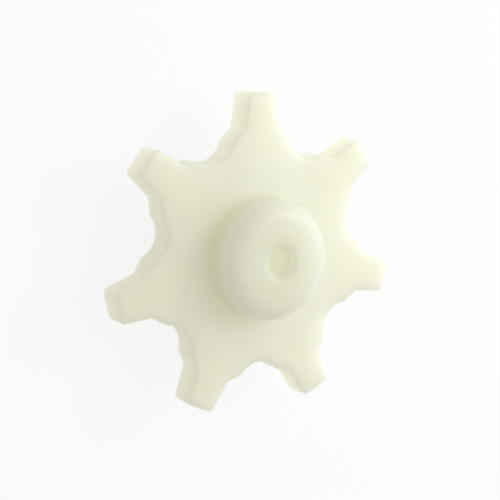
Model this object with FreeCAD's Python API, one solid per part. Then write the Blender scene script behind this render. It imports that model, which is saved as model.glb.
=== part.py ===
import FreeCAD, Part

import math
import os

# A one-piece moulded sprocket blank for a conveyor chain, in natural polyamide.
# Millimetres. The axis is Z, the blank lies on its rear hub's face at Z = 0, and
# its first tooth points along +Y. Angles are in degrees, clockwise from +Y as
# seen from the front, which is +Z.

# Chain: the round barrels of its links drop into the seats between the teeth
tooth_count = 7
chain_pitch = 50.0
barrel_diameter = 21.6
barrel_clearance = 0.2

# Toothed plate
plate_thickness = 12.7
outside_diameter = 140.0
tooth_tip_width = 13.5
tooth_flank_angle = 7.5
seat_wrap_angle = 53.5
ledge_angle = 17.5

# Roundings of the plate's outline, and the bevels of its two faces
tip_corner_radius = 2.0
step_corner_radius = 1.5
seat_lip_radius = 2.2
front_edge_bevel = 0.8
rear_edge_bevel = 1.0

# Solid hubs, one on each face, tapered to leave the mould
hub_diameter = 52.0
front_hub_height = 16.0
rear_hub_height = 16.0
hub_draft_angle = 1.0
hub_rim_radius = 8.5
front_root_radius = 1.5
rear_root_bevel = 1.5

# Blind round recess in the middle of the front hub
recess_diameter = 14.0
recess_depth = 3.5
recess_lip_radius = 1.0

# Sizes that follow from the ones above
pitch_angle = 360.0 / tooth_count
gap_angle = pitch_angle / 2
pitch_radius = chain_pitch / 2 / math.sin(math.radians(gap_angle))
seat_radius = barrel_diameter / 2 + barrel_clearance
outside_radius = outside_diameter / 2
hub_radius = hub_diameter / 2
recess_radius = recess_diameter / 2
plate_rear = rear_hub_height
plate_front = plate_rear + plate_thickness
hub_front = plate_front + front_hub_height

same_place = 1e-4
frontwards = FreeCAD.Vector(0, 0, 1)
rearwards = FreeCAD.Vector(0, 0, -1)


def on_axis(z):
    return FreeCAD.Vector(0, 0, z)


def polar(radius, angle):
    turn = math.radians(angle)
    return FreeCAD.Vector(radius * math.sin(turn), radius * math.cos(turn), 0)


def turned(point, angle):
    turn = FreeCAD.Rotation(rearwards, angle)
    return turn.multVec(point)


def mirrored(point):
    return FreeCAD.Vector(-point.x, point.y, point.z)


def crossing(start_a, along_a, start_b, along_b):
    """Where two lines in the plane meet, each given by a point and a direction."""
    share = (start_b - start_a).cross(along_b).z / along_a.cross(along_b).z
    return start_a + along_a * share


def tooth_corners():
    """Corners on the right of the tooth at +Y: its tip, its step and the seat's lip."""
    half_tip = tooth_tip_width / 2
    tip = FreeCAD.Vector(half_tip, math.sqrt(outside_radius**2 - half_tip**2), 0)
    flank = polar(1, 180 - tooth_flank_angle)
    seat_centre = polar(pitch_radius, gap_angle)
    lip = seat_centre + polar(seat_radius, gap_angle + 180 + seat_wrap_angle)
    ledge = polar(1, gap_angle - 90 + ledge_angle)
    step = crossing(tip, flank, lip, ledge)
    return tip, step, lip


def plate_outline():
    """Tooth after tooth: up a ledge and flank, over the tip, down again, and round a seat."""
    tip, step, lip = tooth_corners()
    crest = polar(outside_radius, 0)
    seat_floor = polar(pitch_radius - seat_radius, gap_angle)
    next_lip = turned(mirrored(lip), pitch_angle)
    edges = []
    for tooth in range(tooth_count):
        place = [turned(point, tooth * pitch_angle) for point in (
            mirrored(lip), mirrored(step), mirrored(tip), crest, tip, step, lip, seat_floor, next_lip)]
        edges.append(Part.LineSegment(place[0], place[1]).toShape())
        edges.append(Part.LineSegment(place[1], place[2]).toShape())
        edges.append(Part.Arc(place[2], place[3], place[4]).toShape())
        edges.append(Part.LineSegment(place[4], place[5]).toShape())
        edges.append(Part.LineSegment(place[5], place[6]).toShape())
        edges.append(Part.Arc(place[6], place[7], place[8]).toShape())
    return Part.Wire(edges)


def round_upright_edges(solid, radius, corner):
    """Round the edges that stand on one corner of every tooth, on its left and right."""
    corners = []
    for tooth in range(tooth_count):
        corners.append(turned(corner, tooth * pitch_angle))
        corners.append(turned(mirrored(corner), tooth * pitch_angle))
    chosen = []
    for edge in solid.Edges:
        middle = edge.CenterOfMass
        foot = FreeCAD.Vector(middle.x, middle.y, 0)
        upright = abs(edge.Vertexes[0].Z - edge.Vertexes[-1].Z) > same_place
        if upright and any(foot.isEqual(place, same_place) for place in corners):
            chosen.append(edge)
    return solid.makeFillet(radius, chosen)


def edges_at(solid, height):
    """The edges that lie flat at one height."""
    low, high = height - same_place, height + same_place
    return [edge for edge in solid.Edges if edge.BoundBox.ZMin > low and edge.BoundBox.ZMax < high]


def ring_at(solid, height, radius):
    """The circular edge of one radius that lies at one height."""
    return [
        edge for edge in edges_at(solid, height)
        if isinstance(edge.Curve, Part.Circle) and abs(edge.Curve.Radius - radius) < same_place
    ]


def toothed_plate():
    face = Part.Face(plate_outline())
    plate = face.extrude(on_axis(plate_thickness))
    tip, step, lip = tooth_corners()
    plate = round_upright_edges(plate, tip_corner_radius, tip)
    plate = round_upright_edges(plate, step_corner_radius, step)
    plate = round_upright_edges(plate, seat_lip_radius, lip)
    plate = plate.makeChamfer(front_edge_bevel, edges_at(plate, plate_thickness))
    plate = plate.makeChamfer(rear_edge_bevel, edges_at(plate, 0))
    plate.translate(on_axis(plate_rear))
    return plate


def hub(root, height, direction):
    """A tapered round hub with a rounded rim, on the plate's face at the height root."""
    end_radius = hub_radius - height * math.tan(math.radians(hub_draft_angle))
    cone = Part.makeCone(hub_radius, end_radius, height, on_axis(root), direction)
    return cone.makeFillet(hub_rim_radius, edges_at(cone, root + height * direction.z))


def sprocket():
    front_hub = hub(plate_front, front_hub_height, frontwards)
    rear_hub = hub(plate_rear, rear_hub_height, rearwards)
    body = toothed_plate().fuse([front_hub, rear_hub])
    body = body.makeFillet(front_root_radius, ring_at(body, plate_front, hub_radius))
    body = body.makeChamfer(rear_root_bevel, ring_at(body, plate_rear, hub_radius))
    body = body.cut(Part.makeCylinder(recess_radius, recess_depth, on_axis(hub_front - recess_depth)))
    return body.makeFillet(recess_lip_radius, ring_at(body, hub_front, recess_radius))


os.makedirs("parts", exist_ok=True)
solid = sprocket()
solid.exportStep("parts/sprocket.step")
box = solid.BoundBox
print("solids", len(solid.Solids), "valid", solid.isValid(), "volume", round(solid.Volume))
print("box", round(box.XLength, 2), round(box.YLength, 2), round(box.ZLength, 2))
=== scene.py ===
import math

import bpy
from mathutils import Euler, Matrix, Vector

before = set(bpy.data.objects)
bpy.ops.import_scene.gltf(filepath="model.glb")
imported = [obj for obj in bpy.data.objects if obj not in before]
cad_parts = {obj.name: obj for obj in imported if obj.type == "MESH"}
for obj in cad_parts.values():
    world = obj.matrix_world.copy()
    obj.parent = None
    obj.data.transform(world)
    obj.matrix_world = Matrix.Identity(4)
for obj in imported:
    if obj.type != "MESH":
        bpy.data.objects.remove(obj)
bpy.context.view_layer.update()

# Metres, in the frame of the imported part: the sprocket lies on its rear hub at z = 0,
# its axis is Z, and its first tooth points along +Y.

# Camera: it looks down on the front hub from the left, as in the photograph, and stands a
# little aside and upward so that the sprocket sits in the picture as it does there
CAMERA_TURN = Euler((math.radians(-10.78), math.radians(-32.44), math.radians(0.57)))
CAMERA_DISTANCE = 0.548
CAMERA_ASIDE = -0.0015
CAMERA_UPWARD = 0.00184
CAMERA_TARGET = Vector((0, 0, 0.02235))
CAMERA_LENS_MM = 91.17
CAMERA_SENSOR_MM = 36.0

# Studio light: one soft lamp from the right, and a pale room that grows brighter towards
# the ceiling and the lamp's side. The camera sees the room in one even tone
LAMP_TOWARDS = Vector((0.73, 0.3, 0.56))
LAMP_DISTANCE = 0.6
LAMP_DIAMETER = 0.42
LAMP_POWER = 1.3
LAMP_COLOUR = (0.93, 1.0, 0.965)
ROOM_COLOUR = (1.0, 0.98, 0.857)
ROOM_LEVEL = 0.3
ROOM_BRIGHTER_TOWARDS = (0.14, 0.05, 0.54)
ROOM_SEEN_COLOUR = (0.93, 0.93, 0.93)
ROOM_SEEN_SHARE = 1.0

# Floor: pale and faintly glowing, with part of its tone given to the camera alone, so that
# the background stays near white and still keeps the sprocket's shadow
FLOOR_SIZE = 6.0
FLOOR_COLOUR = (0.95, 0.95, 0.95)
FLOOR_GLOW = 0.26
FLOOR_ROUGHNESS = 0.9
FLOOR_SPECULAR = 0.1
FLOOR_SEEN_COLOUR = (0.949, 0.952, 0.96)
FLOOR_SEEN_SHARE = 0.8

# Natural polyamide: its clouded tone, and a painted shade that darkens and yellows it from the
# hub's root out to the teeth, where the thin parts let more light through
POLYAMIDE_PALE = (0.857, 0.865, 0.762)
POLYAMIDE_DEEP = (0.829, 0.828, 0.712)
POLYAMIDE_TEETH_PAINTED_SHADE = (0.812, 0.811, 0.638)
CLOUDS = {"Scale": 26.0, "Detail": 3.0, "Roughness": 0.5}
CLOUDS_FROM = 0.35
CLOUDS_TO = 0.65
TEETH_PAINTED_SHADE_FROM = 0.030
TEETH_PAINTED_SHADE_TO = 0.062

# Natural polyamide: how light goes through it, and its satin gloss
POLYAMIDE_IOR = 1.53
SCATTER_REACH = (1.1, 0.97, 0.95)
SCATTER_SCALE = 0.045
SATIN = {"Scale": 140.0, "Detail": 4.0, "Roughness": 0.6}
SATIN_FROM = 0.3
SATIN_TO = 0.7
GLOSS_LOW = 0.36
GLOSS_HIGH = 0.48

# Natural polyamide: softened edges, shallow waves of shrinkage and a fine grain
SOFT_EDGE_RADIUS = 0.003
SOFT_EDGE_SAMPLES = 12
WAVES = {"Scale": 55.0, "Detail": 2.0, "Roughness": 0.5}
WAVES_RELIEF = {"Strength": 0.5, "Distance": 0.00025}
GRAIN = {"Scale": 1300.0, "Detail": 3.0, "Roughness": 0.6}
GRAIN_RELIEF = {"Strength": 0.25, "Distance": 0.00003}


def rgba(colour):
    return (*colour, 1.0)


def new_node(tree, kind, inputs=None, **settings):
    """A node with its settings, and with the values of its input sockets."""
    node = tree.nodes.new(kind)
    for name, value in settings.items():
        setattr(node, name, value)
    for name, value in (inputs or {}).items():
        node.inputs[name].default_value = value
    return node


def noise(tree, place, pattern):
    node = new_node(tree, "ShaderNodeTexNoise", pattern)
    tree.links.new(place, node.inputs["Vector"])
    return node.outputs["Fac"]


def spread(tree, value, low, high, to_low, to_high):
    """Maps a value from one range to another."""
    ends = {"From Min": low, "From Max": high, "To Min": to_low, "To Max": to_high}
    node = new_node(tree, "ShaderNodeMapRange", ends)
    tree.links.new(value, node.inputs["Value"])
    return node.outputs["Result"]


def mixed_colour(tree, share, first, second):
    """Mixes two colours, each a constant or the output of a node."""
    node = new_node(tree, "ShaderNodeMix", data_type="RGBA")
    sockets = [socket for socket in node.inputs if socket.type == "RGBA"]
    for socket, colour in zip(sockets, (first, second)):
        if isinstance(colour, tuple):
            socket.default_value = rgba(colour)
        else:
            tree.links.new(colour, socket)
    tree.links.new(share, node.inputs["Factor"])
    return next(socket for socket in node.outputs if socket.type == "RGBA")


def distance_from_axis(tree, place):
    flat = new_node(tree, "ShaderNodeVectorMath", operation="MULTIPLY")
    flat.inputs[1].default_value = (1, 1, 0)
    tree.links.new(place, flat.inputs[0])
    length = new_node(tree, "ShaderNodeVectorMath", operation="LENGTH")
    tree.links.new(flat.outputs["Vector"], length.inputs[0])
    return length.outputs["Value"]


def relief(tree, height, size, normal):
    """Bumps the surface by a height, on top of the normal that it has so far."""
    node = new_node(tree, "ShaderNodeBump", size)
    tree.links.new(height, node.inputs["Height"])
    tree.links.new(normal, node.inputs["Normal"])
    return node.outputs["Normal"]


def share_with_camera(tree, plain, seen, share, target):
    """Gives the camera a share of the seen shader, and every other ray the plain one."""
    path = new_node(tree, "ShaderNodeLightPath")
    factor = new_node(tree, "ShaderNodeMath", operation="MULTIPLY")
    factor.inputs[1].default_value = share
    tree.links.new(path.outputs["Is Camera Ray"], factor.inputs[0])
    mix = new_node(tree, "ShaderNodeMixShader")
    tree.links.new(factor.outputs["Value"], mix.inputs["Fac"])
    tree.links.new(plain, mix.inputs[1])
    tree.links.new(seen, mix.inputs[2])
    tree.links.new(mix.outputs["Shader"], target)


def polyamide_tone_and_painted_shade(tree, place):
    clouds = spread(tree, noise(tree, place, CLOUDS), CLOUDS_FROM, CLOUDS_TO, 0.0, 1.0)
    body = mixed_colour(tree, clouds, POLYAMIDE_DEEP, POLYAMIDE_PALE)
    # Painted shade: darker and yellower from the hub's root out to the teeth, to even out the
    # light that comes through the thin teeth
    radius = distance_from_axis(tree, place)
    teeth_painted_shade = spread(tree, radius, TEETH_PAINTED_SHADE_FROM, TEETH_PAINTED_SHADE_TO, 0.0, 1.0)
    return mixed_colour(tree, teeth_painted_shade, body, POLYAMIDE_TEETH_PAINTED_SHADE)


def polyamide_gloss(tree, place):
    satin = noise(tree, place, SATIN)
    return spread(tree, satin, SATIN_FROM, SATIN_TO, GLOSS_LOW, GLOSS_HIGH)


def polyamide_surface(tree, place):
    edges = {"Radius": SOFT_EDGE_RADIUS}
    softened = new_node(tree, "ShaderNodeBevel", edges, samples=SOFT_EDGE_SAMPLES)
    waved = relief(tree, noise(tree, place, WAVES), WAVES_RELIEF, softened.outputs["Normal"])
    return relief(tree, noise(tree, place, GRAIN), GRAIN_RELIEF, waved)


def natural_polyamide():
    material = bpy.data.materials.new("natural_polyamide_moulded")
    material.use_nodes = True
    tree = material.node_tree
    shader = tree.nodes["Principled BSDF"]
    place = new_node(tree, "ShaderNodeTexCoord").outputs["Object"]
    tree.links.new(polyamide_tone_and_painted_shade(tree, place), shader.inputs["Base Color"])
    tree.links.new(polyamide_gloss(tree, place), shader.inputs["Roughness"])
    tree.links.new(polyamide_surface(tree, place), shader.inputs["Normal"])
    shader.inputs["IOR"].default_value = POLYAMIDE_IOR
    shader.inputs["Subsurface Weight"].default_value = 1.0
    shader.inputs["Subsurface Radius"].default_value = SCATTER_REACH
    shader.inputs["Subsurface Scale"].default_value = SCATTER_SCALE
    return material


def dress_sprocket():
    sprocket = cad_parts["sprocket"]
    sprocket.material_slots[0].material = natural_polyamide()


def pale_floor():
    material = bpy.data.materials.new("pale_floor")
    material.use_nodes = True
    tree = material.node_tree
    plain = tree.nodes["Principled BSDF"]
    plain.inputs["Base Color"].default_value = rgba(FLOOR_COLOUR)
    plain.inputs["Roughness"].default_value = FLOOR_ROUGHNESS
    plain.inputs["Specular IOR Level"].default_value = FLOOR_SPECULAR
    plain.inputs["Emission Color"].default_value = rgba(FLOOR_COLOUR)
    plain.inputs["Emission Strength"].default_value = FLOOR_GLOW
    tone = {"Color": rgba(FLOOR_SEEN_COLOUR), "Strength": 1.0}
    seen = new_node(tree, "ShaderNodeEmission", tone)
    surface = tree.nodes["Material Output"].inputs["Surface"]
    share_with_camera(
        tree, plain.outputs["BSDF"], seen.outputs["Emission"], FLOOR_SEEN_SHARE, surface)
    return material


def lay_floor():
    mesh = bpy.data.meshes.new("floor")
    half = FLOOR_SIZE / 2
    corners = [(-half, -half, 0), (half, -half, 0), (half, half, 0), (-half, half, 0)]
    mesh.from_pydata(corners, [], [(0, 1, 2, 3)])
    mesh.materials.append(pale_floor())
    floor = bpy.data.objects.new("floor", mesh)
    bpy.context.scene.collection.objects.link(floor)


def light_room():
    world = bpy.data.worlds.new("pale_room")
    bpy.context.scene.world = world
    world.use_nodes = True
    tree = world.node_tree
    room = tree.nodes["Background"]
    room.inputs["Color"].default_value = rgba(ROOM_COLOUR)
    direction = new_node(tree, "ShaderNodeTexCoord").outputs["Generated"]
    rise = new_node(tree, "ShaderNodeVectorMath", operation="DOT_PRODUCT")
    rise.inputs[1].default_value = ROOM_BRIGHTER_TOWARDS
    tree.links.new(direction, rise.inputs[0])
    strength = new_node(tree, "ShaderNodeMath", operation="ADD")
    strength.inputs[1].default_value = ROOM_LEVEL
    tree.links.new(rise.outputs["Value"], strength.inputs[0])
    tree.links.new(strength.outputs["Value"], room.inputs["Strength"])
    tone = {"Color": rgba(ROOM_SEEN_COLOUR), "Strength": 1.0}
    seen = new_node(tree, "ShaderNodeBackground", tone)
    surface = tree.nodes["World Output"].inputs["Surface"]
    share_with_camera(
        tree, room.outputs["Background"], seen.outputs["Background"], ROOM_SEEN_SHARE, surface)


def hang_lamp():
    light = bpy.data.lights.new("key_lamp", "AREA")
    light.shape = "DISK"
    light.size = LAMP_DIAMETER
    light.energy = LAMP_POWER
    light.color = LAMP_COLOUR
    lamp = bpy.data.objects.new("key_lamp", light)
    bpy.context.scene.collection.objects.link(lamp)
    towards = LAMP_TOWARDS.normalized()
    lamp.location = CAMERA_TARGET + towards * LAMP_DISTANCE
    lamp.rotation_euler = towards.to_track_quat("Z", "Y").to_euler()


def place_camera():
    data = bpy.data.cameras.new("camera")
    data.sensor_width = CAMERA_SENSOR_MM
    data.lens = CAMERA_LENS_MM
    camera = bpy.data.objects.new("camera", data)
    bpy.context.scene.collection.objects.link(camera)
    camera.rotation_euler = CAMERA_TURN
    offset = Vector((CAMERA_ASIDE, CAMERA_UPWARD, CAMERA_DISTANCE))
    camera.location = CAMERA_TARGET + CAMERA_TURN.to_matrix() @ offset
    bpy.context.scene.camera = camera


dress_sprocket()
lay_floor()
light_room()
hang_lamp()
place_camera()
bpy.context.scene.view_settings.view_transform = "Standard"
